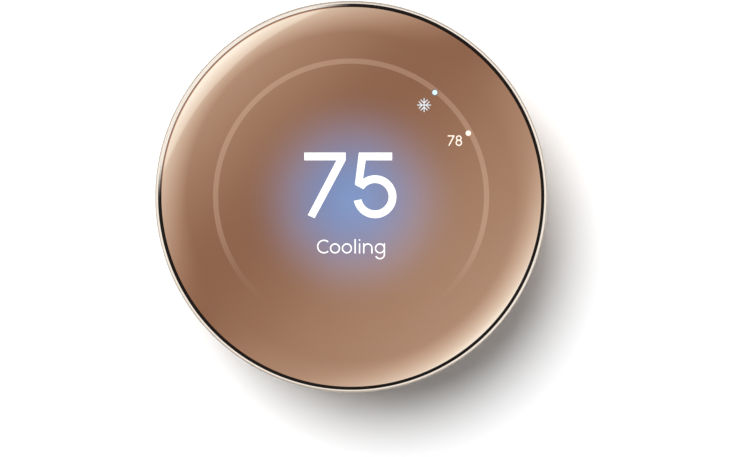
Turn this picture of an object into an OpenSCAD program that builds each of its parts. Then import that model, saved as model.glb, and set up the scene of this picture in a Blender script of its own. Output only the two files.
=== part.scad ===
// Round wall thermostat: a base plate that screws to the wall, and a head with a domed mirror lens that
// pushes onto it. Each module lies in the face's plan: X to the right, Y up, Z the depth out from the wall.
// on_wall() then stands it up, so the wall is the plane Y = 0, the face looks along -Y and +Z is up.

/* [Head] */
// Diameter over the bezel
head_d = 84; // [84:0.5:90]
// Height of the lens apex above the wall
head_depth = 27.2; // [27.2:0.1:29]
// Gap between the wall and the rear edge of the shell
wall_gap = 1.6; // [1.6:0.1:2.2]
// Wall thickness of the shell
shell_t = 1.6; // [1.2:0.1:1.6]
// Depth of the widest circle of the shell
rim_depth = 22.3; // [22.3:0.1:22.5]
// Radius of the curve of the shell's side
side_arc_r = 38; // [37.5:0.1:38]

/* [Lens] */
// Radius of the lens
lens_r = 40.7; // [40.5:0.05:40.7]
// Radius of the shallow dome of the lens
dome_r = 310; // [280:5:400]
// Radius at which the dome turns into the rolled edge
roll_start_r = 35; // [33:0.5:36]
// Radius of the rolled edge
roll_r = 30; // [20:1:30]
// Thickness of the lens at its middle
lens_t = 2; // [1.8:0.1:2]
// Width of the black ring round the lens
ring_w = 0.5; // [0.4:0.05:0.5]
// Radius of the rounded edge of the bezel
bezel_round = 1.4; // [1.3:0.05:1.5]

/* [Display] */
// Radius of the round display
display_r = 31; // [29:0.5:31]
// Thickness of the display glass
display_t = 1.2; // [0.8:0.1:1.2]

/* [Board] */
// Thickness of the main circuit board
board_t = 1.2; // [1:0.1:1.2]
// Depth of the rear face of the main circuit board
board_depth = 16.2; // [16:0.1:16.2]

/* [Batteries] */
// Diameter of a cell
cell_d = 10.5; // [10:0.1:10.5]
// Length of a cell over its button
cell_len = 44.5; // [43.5:0.1:44.5]

/* [Base] */
// Radius of the flange against the wall
flange_r = 34.5; // [34:0.1:34.5]
// Outer radius of the tub
tub_r = 32.6; // [32.4:0.1:32.6]
// Height of the tub's rim
tub_h = 7.6; // [7:0.1:7.6]
// Thickness of the tub's floor
floor_t = 2; // [1.6:0.1:2]
// Distance between the two wall screws
screw_spacing = 50; // [49:0.5:50]
// Radius of each wall screw hole
screw_hole_r = 2.25; // [2:0.05:2.4]
// Width of the opening for the wires
opening_w = 24; // [20:1:24]
// Height of the opening for the wires
opening_h = 18; // [14:1:18]

/* [Terminals] */
// Distance from one terminal to the next
pitch = 6; // [5.8:0.1:6]
// Travel of a push tab
tab_travel = 1.6; // [1.2:0.1:1.6]
// Side of the square wire entry
entry_w = 2.4; // [2:0.1:2.4]

/* [Hidden] */
$fn = 120;
big_fn = 1080;

// Face of the lens: a dome about the axis, then a rolled edge that leaves it without a kink
roll_angle = asin(roll_start_r / dome_r);
dome_z = head_depth - dome_r;
roll_x = (dome_r - roll_r) * sin(roll_angle);
roll_z = dome_z + (dome_r - roll_r) * cos(roll_angle);
lens_edge_z = roll_z + sqrt(pow(roll_r, 2) - pow(lens_r - roll_x, 2));
land_z = 22.6;          // flat underside of the lens where it is glued down
land_r = 36;            // inner radius of that land
glue_t = 0.15;

// Side of the shell: an arc whose widest point is at rim_depth
side_x = head_d / 2 - side_arc_r;
bezel_in = lens_r + 0.05 + ring_w;

// Stack of layers in the head, from the wall outwards
cover_z = 8.4;          // rear face of the rear cover
cover_t = 1.5;
cover_r = 37.2;
cover_top = cover_z + cover_t;
frame_z = 20.1;         // rear face of the mid frame
frame_t = 0.8;
frame_top = frame_z + frame_t;
frame_r = 40;
light_z = 21.15;        // rear face of the backlight
light_t = 0.75;
display_z = light_z + light_t + 0.05;
board_r = 34;
board_y = 1.2;          // lower edge of the main board
board_top = board_depth + board_t;

// Posts between the mid frame and the rear cover
post_angles = [40, 140, 250, 290];
post_ring_r = 35;
post_r = 2.2;
post_hole_r = 1;
// Posts of the main board
board_posts = [[-22, 5], [22, 5], [-15, 28], [15, 28]];

// Battery bay, open towards the wall
bay_x = 24.6;
bay_top = -1;
bay_bottom = -24.2;
bay_wall = 1;
bay_z = 19.25;          // underside of the bay's floor
cell_z = 13.9;
cell_y = [bay_top - 0.4 - cell_d / 2, bay_bottom + 0.4 + cell_d / 2];
plate_t = 0.4;
button_len = 0.8;
spring_turns = 3;

// Plug between the head and the base
plug_y = 16;
plug_w = 17.2;
plug_h = 5.6;
nose_w = 15.2;
nose_h = 3.4;
pin_w = 0.64;
pin_x = [-6, -3, 0, 3, 6];
pin_y = [plug_y - 0.95, plug_y + 0.95];

// Base
tub_wall = 1.2;
flange_t = 1;
base_board_t = 0.8;
base_top = floor_t + base_board_t;
block_x = 15.5;
block_w = 11.3;
block_len = 4 * pitch + 6.6;
block_top = 6;
channel_z = base_top + 0.3;
channel_len = 5.7;
tab_x = 23.85;
tab_w = 4.2;
tab_len = 4.9;
tab_low = 5;
tab_top = 7.8;
tab_play = 0.15;
socket_w = 19;
socket_h = 6.8;
socket_top = 7.6;
vial_y = -15;
vial_z = 5.2;
vial_r = 2.3;
vial_len = 15;
base_screws = [[-12.6, 13.5], [12.6, 13.5], [-12.6, -13.5], [12.6, -13.5]];
clip_angles = [45, 135, 225, 315];

// ---------------------------------------------------------------- helpers

// Stands a shape drawn in the face's plan up against the wall
module on_wall() {
    rotate([90, 0, 0]) children();
}

// A box centred on x and y that runs from z0 to z1
module block(x, y, w, h, z0, z1) {
    translate([x - w / 2, y - h / 2, z0]) cube([w, h, z1 - z0]);
}

// A round bar that runs from z0 to z1
module bar(x, y, r, z0, z1) {
    translate([x, y, z0]) cylinder(r = r, h = z1 - z0);
}

// A flat ring that runs from z0 to z1
module washer(r_in, r_out, z0, z1) {
    translate([0, 0, z0])
        linear_extrude(height = z1 - z0)
            difference() {
                circle(r = r_out);
                circle(r = r_in);
            }
}

// Puts its children at a radius and an angle round the axis
module around(angles, r) {
    for (a = angles) rotate([0, 0, a]) translate([r, 0, 0]) children();
}

// Section between two curves that follow the side of the shell, gap and t inwards of the outside
module side_section(gap, t, z0, z1) {
    intersection() {
        translate([side_x, rim_depth])
            difference() {
                circle(r = side_arc_r - gap, $fn = big_fn);
                circle(r = side_arc_r - gap - t, $fn = big_fn);
            }
        translate([side_x + side_arc_r / 2, z0]) square([side_arc_r, z1 - z0]);
    }
}

// Half section of the face of the lens, raised above z0
module lens_section(z0) {
    union() {
        intersection() {
            translate([0, dome_z]) circle(r = dome_r, $fn = big_fn);
            translate([0, z0]) square([roll_start_r, head_depth]);
        }
        intersection() {
            translate([roll_x, roll_z]) circle(r = roll_r, $fn = big_fn);
            translate([roll_start_r, z0]) square([lens_r - roll_start_r, head_depth]);
        }
    }
}

// A pan head screw whose head lies from z_head outwards; side is 1 when the head faces +Z, -1 when it faces the wall
module screw(x, y, head_r, head_h, shank_r, z_head, shank_len, side) {
    translate([x, y, z_head])
        mirror([0, 0, side < 0 ? 1 : 0])
        difference() {
            union() {
                cylinder(r = head_r, h = head_h);
                translate([0, 0, -shank_len]) cylinder(r = shank_r, h = shank_len);
            }
            for (a = [0, 90])
                rotate([0, 0, a])
                    translate([0, 0, head_h])
                        cube([head_r * 1.2, head_r * 0.3, head_h], center = true);
        }
}

// ---------------------------------------------------------------- head: outside

module outer_shell() {
    ledge_r = 38.6;
    ledge_z = frame_z - 1;
    color("tan") on_wall() {
        rotate_extrude() union() {
            side_section(0, shell_t, wall_gap, rim_depth);
            // ledge that the mid frame rests on
            intersection() {
                translate([side_x, rim_depth]) circle(r = side_arc_r - shell_t / 2, $fn = big_fn);
                translate([ledge_r, ledge_z]) square([shell_t + 1, 0.95]);
            }
        }
    }
}

module bezel_ring() {
    color("wheat") on_wall()
        rotate_extrude()
            intersection() {
                translate([head_d / 2 - bezel_round, rim_depth]) circle(r = bezel_round);
                translate([bezel_in, rim_depth]) square([bezel_round, bezel_round]);
            }
}

module lens_ring() {
    low = rim_depth + 0.05;
    color("black") on_wall()
        rotate_extrude()
            polygon([
                [lens_r + 0.02, low], [bezel_in - 0.02, low], [bezel_in - 0.02, lens_edge_z - 0.52],
                [bezel_in - 0.16, lens_edge_z - 0.28], [lens_r + 0.12, lens_edge_z - 0.1],
                [lens_r + 0.02, lens_edge_z - 0.08]
            ]);
}

module front_lens() {
    color("rosybrown") on_wall()
        rotate_extrude()
            difference() {
                lens_section(land_z);
                intersection() {
                    translate([0, dome_z]) circle(r = dome_r - lens_t, $fn = big_fn);
                    translate([-1, land_z - 1]) square([land_r + 1, head_depth]);
                }
            }
}

module lens_adhesive() {
    color("dimgray") on_wall() washer(land_r + 0.5, lens_r - 0.5, land_z - glue_t, land_z);
}

// ---------------------------------------------------------------- head: display

module display_panel() {
    color("midnightblue") on_wall() bar(0, 0, display_r, display_z, display_z + display_t);
}

module display_backlight() {
    color("ghostwhite") on_wall() bar(0, 0, display_r, light_z, light_z + light_t);
}

module display_frame() {
    color("gray") on_wall()
        difference() {
            washer(display_r + 0.2, display_r + 1.8, frame_top + 0.05, display_z + display_t - 0.2);
            block(0, display_r + 1, 15, 4, frame_top - 1, head_depth);
        }
}

module display_cable() {
    width = 13;
    tape = 0.25;
    out_y = display_r + 2.6;
    connector_z = board_top + 1.1;
    color("orange") on_wall() {
        block(0, display_r + 1.35, width, 2.5, display_z, display_z + tape);
        block(0, out_y - tape / 2, width, tape, connector_z, display_z + tape);
        block(0, out_y - 3.2, width, 6.4, connector_z, connector_z + tape);
    }
}

// ---------------------------------------------------------------- head: frame and board

module mid_frame() {
    rim_in = land_r + 0.2;
    rim_z = land_z - glue_t;
    color("silver") on_wall()
        difference() {
            union() {
                bar(0, 0, frame_r, frame_z, frame_top);
                washer(rim_in, frame_r, frame_top, rim_z);
                around(post_angles, post_ring_r) bar(0, 0, post_r, cover_top + 0.1, frame_z + 0.1);
            }
            around(post_angles, post_ring_r) bar(0, 0, post_hole_r, -1, frame_z - 3);
            // slot for the display's cable, and the notch that holds the motion sensor
            block(0, display_r + 2.6, 14.4, 1.4, frame_z - 1, frame_top + 1);
            block(0, display_r + 5.6, 11, 6, frame_top, head_depth);
        }
}

module main_board() {
    color("darkgreen") on_wall()
        difference() {
            intersection() {
                bar(0, 0, board_r, board_depth, board_top);
                block(0, board_y + board_r / 2, 2 * board_r, board_r, board_depth, board_top);
            }
            around(post_angles, post_ring_r) bar(0, 0, post_r + 0.4, board_depth - 1, board_top + 1);
            for (p = board_posts) bar(p[0], p[1], 0.9, board_depth - 1, board_top + 1);
        }
}

module board_chips() {
    color("dimgray") on_wall() {
        block(-11, 16, 10, 10, board_top, board_top + 1);
        block(-11, 22, 6, 1.6, board_top, board_top + 0.6);
        block(7, 13, 6, 6, board_top, board_top + 0.9);
        block(14.5, 18, 5, 5, board_top, board_top + 0.9);
        for (x = [-26, -22, 21, 25]) block(x, 12, 2.4, 3.2, board_top, board_top + 1.2);
        for (x = [-20, -16, 16, 20]) block(x, 24, 2, 1.2, board_depth - 0.8, board_depth);
    }
}

module board_connectors() {
    color("ivory") on_wall() {
        block(0, display_r - 2.6, 14.5, 3.6, board_top, board_top + 1.1);
        block(28.5, 6.5, 4.5, 6, board_depth - 1, board_depth);
        block(-29, 4, 4, 2.6, board_depth - 1, board_depth);
    }
}

// A sheet metal can, open towards the board
module shield(x, y, w, h, z0, z1) {
    sheet = 0.2;
    difference() {
        block(x, y, w, h, z0, z1);
        block(x, y, w - 2 * sheet, h - 2 * sheet, z0 - 1, z1 - sheet);
    }
}

module processor_shield() {
    color("lightgray") on_wall() shield(-11, 16, 17, 15.5, board_top, board_top + 1.9);
}

module radio_shield() {
    color("lightgray") on_wall() shield(11, 16, 17, 15.5, board_top, board_top + 1.9);
}

module motion_sensor() {
    y = display_r + 5.6;
    color("darkgreen") on_wall() {
        block(0, y, 10, 4.6, frame_top + 0.1, frame_top + 0.7);
        block(0, y, 6, 3.4, frame_top + 0.7, frame_top + 1.5);
    }
}

module light_sensor() {
    color("black") on_wall()
        rotate([0, 0, 35]) translate([0, display_r + 3.5, 0]) {
            block(0, 0, 4, 2.8, frame_top + 0.02, frame_top + 0.5);
            block(0, 0, 2, 2, frame_top + 0.5, frame_top + 1.1);
        }
}

module climate_sensor() {
    color("white") on_wall() {
        block(-31.5, -4.5, 5, 6, cover_top + 0.02, cover_top + 0.8);
        block(-31.5, -5, 2.5, 2.5, cover_top + 0.8, cover_top + 1.7);
    }
}

module climate_cable() {
    tape = 0.25;
    low = cover_top + 0.82;
    x = -29.8;
    color("orange") on_wall() {
        block(x, -1, 1.4, 3.9, low, low + tape);
        block(x, board_y - 0.375, 1.4, tape, low, board_depth - 1);
        block(x, 3, 1.4, 4.1, board_depth - 1 - tape, board_depth - 1);
    }
}

module touch_strip() {
    color("orange") on_wall()
        rotate([0, 0, -38])
            rotate_extrude(angle = 76)
                side_section(shell_t + 0.05, 0.25, cover_top + 0.3, frame_z - 1.2);
}

module touch_cable() {
    z = board_depth - 1.02;
    color("orange") on_wall()
        intersection() {
            block(34, 6.5, 14, 5, z - 0.25, z);
            bar(0, 0, 39.3, z - 1, z + 1);
        }
}

module wifi_antenna() {
    color("gold") on_wall()
        rotate([0, 0, 62])
            rotate_extrude(angle = 56)
                side_section(shell_t + 0.05, 0.2, cover_top + 1.5, frame_z - 1.6);
}

module plug_housing() {
    color("black") on_wall()
        difference() {
            union() {
                block(0, plug_y, plug_w, plug_h, cover_z + 0.1, board_depth);
                block(0, plug_y, nose_w, nose_h, socket_top + 0.4, cover_z + 1);
            }
            for (x = pin_x, y = pin_y) block(x, y, pin_w, pin_w, -1, board_depth + 1);
        }
}

module plug_pins() {
    color("gold") on_wall()
        for (x = pin_x, y = pin_y) block(x, y, pin_w - 0.02, pin_w - 0.02, 4.6, board_depth - 0.02);
}

// ---------------------------------------------------------------- head: back and batteries

module rear_cover() {
    bay_w = 2 * bay_x;
    bay_h = bay_top - bay_bottom;
    bay_y = (bay_top + bay_bottom) / 2;
    rib = 0.8;
    color("gray") on_wall()
        difference() {
            union() {
                bar(0, 0, cover_r, cover_z, cover_top);
                block(0, bay_y, bay_w + 2 * bay_wall, bay_h + 2 * bay_wall, cover_z, bay_z + 0.6);
                for (p = board_posts) bar(p[0], p[1], 2, cover_z, board_depth);
            }
            // battery bay, parted by a low rib between the cells
            difference() {
                block(0, bay_y, bay_w, bay_h, cover_z - 1, bay_z);
                block(0, bay_y, bay_w + 1, rib, cell_z, bay_z + 1);
            }
            block(0, plug_y, plug_w + 0.4, plug_h + 0.4, cover_z - 1, cover_top + 1);
            around(post_angles, post_ring_r) {
                bar(0, 0, 1.15, cover_z - 1, cover_top + 1);
                bar(0, 0, 2, cover_z - 1, cover_z + 0.85);
            }
            for (p = board_posts) bar(p[0], p[1], 0.8, cover_top + 1, board_depth + 1);
            // vents beside the climate sensor and their match on the other side
            for (side = [-1, 1], i = [0:4])
                block(side * 31.5, -10 - 2.2 * i, 6 - 0.8 * i, 1, cover_z - 1, cover_top + 1);
        }
}

// One cell that lies along x; its button points to +x when side is 1
module cell(y, side) {
    start = bay_x - plate_t;
    translate([side * start, y, cell_z])
        rotate([0, side * -90, 0])
            rotate_extrude()
                polygon([
                    [0, 0], [1.9, 0], [1.9, button_len], [cell_d / 2 - 0.5, button_len],
                    [cell_d / 2, button_len + 0.5], [cell_d / 2, cell_len - 0.3],
                    [cell_d / 2 - 0.3, cell_len], [0, cell_len]
                ]);
}

module battery_cell_upper() {
    color("goldenrod") on_wall() cell(cell_y[0], 1);
}

module battery_cell_lower() {
    color("goldenrod") on_wall() cell(cell_y[1], -1);
}

// A wire of radius wire_r wound along z, its radius going from r0 to r1 over length len
module coil_spring(r0, r1, wire_r, turns, len) {
    sides = 8;
    steps = 16 * turns;
    function mid(i) = let (t = i / steps, r = r0 + (r1 - r0) * t, a = 360 * turns * t)
        [r * cos(a), r * sin(a), wire_r + (len - 2 * wire_r) * t];
    function across(i) = let (a = 360 * turns * i / steps) [cos(a), sin(a), 0];
    points = [
        for (i = [0:steps], k = [0:sides - 1])
            mid(i) + wire_r * (cos(360 * k / sides) * across(i) + sin(360 * k / sides) * [0, 0, 1])
    ];
    walls = [
        for (i = [0:steps - 1], k = [0:sides - 1])
            let (a = i * sides + k, b = i * sides + (k + 1) % sides) [a, a + sides, b + sides, b]
    ];
    ends = [
        [for (k = [0:sides - 1]) k],
        [for (k = [0:sides - 1]) steps * sides + sides - 1 - k]
    ];
    polyhedron(points = points, faces = concat(walls, ends), convexity = 6);
}

module battery_springs() {
    gap = 2 * bay_x - 2 * plate_t - cell_len;
    color("silver") on_wall()
        for (i = [0, 1])
            let (side = i == 0 ? -1 : 1)
                translate([side * (bay_x - plate_t), cell_y[i], cell_z])
                    rotate([0, side * -90, 0])
                        coil_spring(3.2, 1.6, 0.35, spring_turns, gap);
}

module battery_plates() {
    color("silver") on_wall()
        for (side = [-1, 1], y = cell_y)
            translate([side * (bay_x - plate_t / 2), 0, 0])
                block(0, y, plate_t - 0.02, 8.5, cell_z - 4.2, bay_z - 0.1);
}

module rear_cover_screws() {
    color("silver") on_wall()
        around(post_angles, post_ring_r) screw(0, 0, 1.8, 0.8, 0.98, cover_z + 0.85, 7, -1);
}

module board_screws() {
    color("silver") on_wall()
        for (p = board_posts) screw(p[0], p[1], 1.6, 0.9, 0.78, board_top, 4.5, 1);
}

// ---------------------------------------------------------------- base

module base_plate() {
    boss_r = 5.6;
    boss_top = 3.6;
    color("white") on_wall()
        difference() {
            union() {
                bar(0, 0, flange_r, 0, flange_t);
                bar(0, 0, tub_r, 0, floor_t);
                washer(tub_r - tub_wall, tub_r, floor_t - 0.5, tub_h);
                for (side = [-1, 1]) {
                    bar(0, side * screw_spacing / 2, boss_r, 0, boss_top);
                    block(side * (vial_len / 2 - 1), vial_y, 2, 2 * vial_r + 1.6, 0, vial_z + 0.6);
                }
                // lip round the wire opening
                block(0, 0, opening_w + 2, opening_h + 2, 0, base_top + 0.6);
            }
            block(0, 0, opening_w, opening_h, -1, tub_h + 1);
            for (side = [-1, 1]) {
                bar(0, side * screw_spacing / 2, screw_hole_r, -1, tub_h);
                bar(0, side * screw_spacing / 2, boss_r - 1, floor_t, tub_h);
            }
            for (p = base_screws) bar(p[0], p[1], 0.7, 0.6, tub_h);
            // seat of the level vial
            translate([0, vial_y, vial_z]) rotate([0, 90, 0])
                cylinder(r = vial_r + 0.05, h = vial_len + 4, center = true);
        }
}

module base_board() {
    color("darkgreen") on_wall()
        difference() {
            intersection() {
                bar(0, 0, tub_r - tub_wall - 0.6, floor_t, base_top);
                block(0, 2.3, 60, 36.4, floor_t, base_top);
            }
            block(0, 0, opening_w + 2.4, opening_h + 2.4, 0, tub_h);
            block(0, vial_y, vial_len + 4, 8, 0, tub_h);
            bar(0, screw_spacing / 2, 5.9, 0, tub_h);
            for (p = base_screws) bar(p[0], p[1], 0.9, 0, tub_h);
        }
}

module base_socket() {
    color("black") on_wall()
        difference() {
            block(0, plug_y, socket_w, socket_h, base_top, socket_top);
            for (x = pin_x, y = pin_y) block(x, y, 1.8, 1.3, base_top + 0.4, socket_top + 1);
        }
}

module socket_contacts() {
    color("gold") on_wall()
        for (x = pin_x, y = pin_y) {
            block(x + 0.72, y, 0.2, 0.9, base_top + 0.42, socket_top - 0.6);
            block(x + 0.1, y, 1.2, 0.9, base_top + 0.42, base_top + 0.62);
        }
}

// Middle of terminal number i, counted from 1 at the top
function terminal_y(i) = (3 - i) * pitch;

module terminal_block(side) {
    difference() {
        block(side * (block_x + block_w / 2), 0, block_w, block_len, base_top, block_top);
        for (i = [1:5]) {
            // wire entry in the face towards the middle, and the pocket of the tab
            block(side * (block_x + channel_len / 2 - 0.5), terminal_y(i), channel_len + 1, entry_w,
                channel_z, channel_z + entry_w);
            block(side * tab_x, terminal_y(i), tab_w + 2 * tab_play, tab_len + 2 * tab_play,
                base_top + 0.2, block_top + 1);
        }
    }
}

module terminal_block_left() {
    color("whitesmoke") on_wall() terminal_block(-1);
}

module terminal_block_right() {
    color("whitesmoke") on_wall() terminal_block(1);
}

// Bent strip that grips a wire: a foot on the floor of the entry, a back and a tongue
module wire_clamp(side, i) {
    strip = 0.3;
    width = entry_w - 0.4;
    back = block_x + channel_len - 0.2;
    translate([0, terminal_y(i), 0]) {
        block(side * (back - 2.2), 0, 4.4, width, channel_z + 0.02, channel_z + strip);
        block(side * (back - strip / 2), 0, strip, width, channel_z + 0.02, channel_z + entry_w - 0.05);
        block(side * (back - 1), 0, 2, width, channel_z + entry_w - 0.05 - strip, channel_z + entry_w - 0.05);
    }
}

module wire_clamps_left() {
    color("gold") on_wall() for (i = [1:5]) wire_clamp(-1, i);
}

module wire_clamps_right() {
    color("gold") on_wall() for (i = [1:5]) wire_clamp(1, i);
}

// Push tab of terminal i, with a shallow dish for the fingertip
module tab(side, i) {
    dish_r = 5;
    dish = 0.4;
    color("lightgray") on_wall()
        difference() {
            block(side * tab_x, terminal_y(i), tab_w, tab_len, tab_low, tab_top);
            translate([side * tab_x, terminal_y(i), tab_top + dish_r - dish])
                rotate([0, 90, 0]) cylinder(r = dish_r, h = tab_w + 1, center = true);
        }
}

module level_vial() {
    color("lightcyan") on_wall()
        translate([0, vial_y, vial_z]) rotate([0, 90, 0])
            difference() {
                cylinder(r = vial_r, h = vial_len, center = true);
                cylinder(r = vial_r - 0.5, h = vial_len - 1.6, center = true);
            }
}

module bubble(grow) {
    r = 1.1 + grow;
    translate([0, vial_y + vial_r - 1.75, vial_z]) rotate([0, 90, 0])
        rotate_extrude()
            union() {
                intersection() {
                    union() {
                        translate([0, 1]) circle(r = r);
                        translate([0, -1]) circle(r = r);
                    }
                    translate([0, -4]) square([4, 8]);
                }
                translate([0, -1]) square([r, 2]);
            }
}

module level_fluid() {
    color("yellowgreen") on_wall()
        difference() {
            translate([0, vial_y, vial_z]) rotate([0, 90, 0])
                cylinder(r = vial_r - 0.52, h = vial_len - 1.64, center = true);
            bubble(0.02);
        }
}

module level_bubble() {
    color("honeydew") on_wall() bubble(0);
}

module base_board_screws() {
    color("silver") on_wall()
        for (p = base_screws) screw(p[0], p[1], 1.4, 0.8, 0.68, base_top, 2, 1);
}

// Spring clips that hook over the rim of the tub and grip the head
module snap_clips() {
    t = 0.3;
    out = tub_r + 0.05;
    top = tub_h + 0.02;
    in = tub_r - tub_wall - 0.03;
    color("silver") on_wall()
        for (a = clip_angles)
            rotate([0, 0, a - 6])
                rotate_extrude(angle = 12)
                    polygon([
                        [in - t, 4], [in, 4], [in, top], [out, top], [out + 0.65, 5.2], [out + 0.05, 2.6],
                        [out + t + 0.05, 2.6], [out + t + 0.65, 5.2], [out + t, top + t], [in - t, top + t]
                    ]);
}

// ---------------------------------------------------------------- nodes

outer_shell();
bezel_ring();
lens_ring();
front_lens();
lens_adhesive();
display_panel();
display_backlight();
display_frame();
display_cable();
mid_frame();
main_board();
board_chips();
board_connectors();
processor_shield();
radio_shield();
motion_sensor();
light_sensor();
climate_sensor();
climate_cable();
touch_strip();
touch_cable();
wifi_antenna();
plug_housing();
plug_pins();
rear_cover();
battery_cell_upper();
battery_cell_lower();
battery_springs();
battery_plates();
rear_cover_screws();
board_screws();
base_plate();
base_board();
base_socket();
socket_contacts();
terminal_block_left();
terminal_block_right();
wire_clamps_left();
wire_clamps_right();
level_vial();
level_fluid();
level_bubble();
base_board_screws();
snap_clips();
tab(-1, 1);  // tab_left_1
tab(-1, 2);  // tab_left_2
tab(-1, 3);  // tab_left_3
tab(-1, 4);  // tab_left_4
tab(-1, 5);  // tab_left_5
tab(1, 1);  // tab_right_1
tab(1, 2);  // tab_right_2
tab(1, 3);  // tab_right_3
tab(1, 4);  // tab_right_4
tab(1, 5);  // tab_right_5
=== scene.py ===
import math

import bmesh
import bpy
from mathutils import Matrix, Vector


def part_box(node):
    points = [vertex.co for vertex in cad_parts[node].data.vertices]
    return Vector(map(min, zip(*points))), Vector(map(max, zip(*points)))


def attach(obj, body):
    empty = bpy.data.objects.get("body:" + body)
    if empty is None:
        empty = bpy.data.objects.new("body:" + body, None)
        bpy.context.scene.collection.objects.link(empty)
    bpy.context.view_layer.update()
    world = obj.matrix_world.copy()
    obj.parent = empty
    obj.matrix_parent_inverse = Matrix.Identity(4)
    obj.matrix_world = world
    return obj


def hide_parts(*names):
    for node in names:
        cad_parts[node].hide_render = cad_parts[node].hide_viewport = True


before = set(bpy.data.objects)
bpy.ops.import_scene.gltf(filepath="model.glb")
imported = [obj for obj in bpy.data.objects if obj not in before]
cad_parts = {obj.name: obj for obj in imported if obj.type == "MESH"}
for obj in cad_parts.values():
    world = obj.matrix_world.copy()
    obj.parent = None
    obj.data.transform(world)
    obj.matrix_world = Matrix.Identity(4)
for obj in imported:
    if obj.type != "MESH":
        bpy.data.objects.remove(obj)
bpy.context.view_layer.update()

bl_info = {
    "name": "Round Wall Thermostat",
    "version": (1, 0, 0),
    "blender": (4, 5, 0),
    "location": "3D View > Sidebar > Thermostat",
    "description": "Finishes a round wall thermostat: mirror lens, display, head, cells and wall base",
    "category": "Add Mesh",
}

# The face looks along -Y, +Z is up and the wall is the plane Y = 0. Depth is measured out from the wall.
MM = 0.001
SIDES = {"left": -1, "right": 1}
TABS = [f"tab_{side}_{i}" for side in SIDES for i in range(1, 6)]
# How far the edges of lens, black ring and bezel stand outside their frame sizes, so that the seams read
LENS_OUT, RING_OUT, BEZEL_OUT = 0.00005, 0.00007, 0.00009
SENSOR = 36


def depth_of(node):
    """(lowest, highest) distance of a CAD node from the wall."""
    low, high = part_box(node)
    return -high[1], -low[1]


def radius_of(node):
    """Outer radius of a round CAD node on the thermostat's axis."""
    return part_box(node)[1][0]


# ------------------------------------------------------------------ settings


class FaceSizes(bpy.types.PropertyGroup):
    """Shape of the front of the head"""

    dome_radius: bpy.props.FloatProperty(
        name="Dome radius", description="Radius of the shallow dome of the lens",
        default=0.310, subtype="DISTANCE"
    )
    roll_start: bpy.props.FloatProperty(
        name="Roll start", description="Distance from the axis at which the lens starts to roll off",
        default=0.035, subtype="DISTANCE"
    )
    roll_radius: bpy.props.FloatProperty(
        name="Roll radius", description="Radius of the rolled edge of the lens",
        default=0.030, subtype="DISTANCE"
    )
    bezel_round: bpy.props.FloatProperty(
        name="Bezel round", description="Radius of the rounded outer edge of the bezel",
        default=0.0014, subtype="DISTANCE"
    )
    side_arc: bpy.props.FloatProperty(
        name="Side arc", description="Radius of the curve of the shell's side",
        default=0.038, subtype="DISTANCE"
    )
    lens_sink: bpy.props.FloatProperty(
        name="Lens sink",
        description="How far the lens lies below its frame size, to leave room for the figures",
        default=0.00006, subtype="DISTANCE"
    )
    turns: bpy.props.IntProperty(
        name="Facets round", description="Number of facets round the thermostat's axis", default=288, min=24
    )


class DisplayLook(bpy.types.PropertyGroup):
    """Light of the display, seen through the half mirror"""

    ring_radius: bpy.props.FloatProperty(
        name="Ring radius", description="Radius of the faint ring", default=0.02888, subtype="DISTANCE"
    )
    ring_width: bpy.props.FloatProperty(
        name="Ring width", description="Width of the faint ring", default=0.00112, subtype="DISTANCE"
    )
    ring_colour: bpy.props.FloatVectorProperty(
        name="Ring colour", description="Light of the faint ring",
        default=(0.122, 0.094, 0.073), subtype="COLOR"
    )
    glow_radius: bpy.props.FloatProperty(
        name="Glow radius", description="Radius at which the blue glow has gone",
        default=0.026, subtype="DISTANCE"
    )
    glow_colour: bpy.props.FloatVectorProperty(
        name="Glow colour", description="Light of the blue glow in the middle",
        default=(0.037, 0.247, 0.548), subtype="COLOR"
    )
    figure_height: bpy.props.FloatProperty(
        name="Figure height", description="Height of the large temperature",
        default=0.01396, subtype="DISTANCE"
    )
    word_height: bpy.props.FloatProperty(
        name="Word height", description="Height of the small letters of the status word",
        default=0.00216, subtype="DISTANCE"
    )
    small_height: bpy.props.FloatProperty(
        name="Small figure height", description="Height of the small set temperature",
        default=0.00226, subtype="DISTANCE"
    )


class FinishColours(bpy.types.PropertyGroup):
    """Main colours"""

    lens: bpy.props.FloatVectorProperty(
        name="Lens", description="Tint of the half mirror", default=(0.64, 0.293, 0.152), subtype="COLOR"
    )
    bezel: bpy.props.FloatVectorProperty(
        name="Bezel", description="Champagne of the bezel", default=(0.86, 0.76, 0.66), subtype="COLOR"
    )
    shell: bpy.props.FloatVectorProperty(
        name="Shell", description="Sand of the side wall", default=(0.66, 0.53, 0.43), subtype="COLOR"
    )
    base: bpy.props.FloatVectorProperty(
        name="Base", description="White of the wall base", default=(0.78, 0.78, 0.76), subtype="COLOR"
    )
    cover: bpy.props.FloatVectorProperty(
        name="Rear cover", description="Grey of the back of the head",
        default=(0.14, 0.14, 0.145), subtype="COLOR"
    )


class StageLook(bpy.types.PropertyGroup):
    """Wall, lights and camera"""

    focal_length: bpy.props.FloatProperty(
        name="Focal length", description="Focal length of the camera in millimetres", default=150.0
    )
    view_width: bpy.props.FloatProperty(
        name="View width", description="Width of the view at the rim of the face",
        default=0.1607, subtype="DISTANCE"
    )
    view_right: bpy.props.FloatProperty(
        name="View right", description="How far the view's middle lies right of the axis",
        default=0.0051, subtype="DISTANCE"
    )
    view_down: bpy.props.FloatProperty(
        name="View down", description="How far the view's middle lies below the axis",
        default=0.0068, subtype="DISTANCE"
    )
    wall_radius: bpy.props.FloatProperty(
        name="Wall radius", description="Radius of the pale wall", default=3.0, subtype="DISTANCE"
    )


# ------------------------------------------------------------------ modelling helpers


def deselect():
    if bpy.context.mode != "OBJECT":
        bpy.ops.object.mode_set(mode="OBJECT")
    bpy.ops.object.select_all(action="DESELECT")


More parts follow.
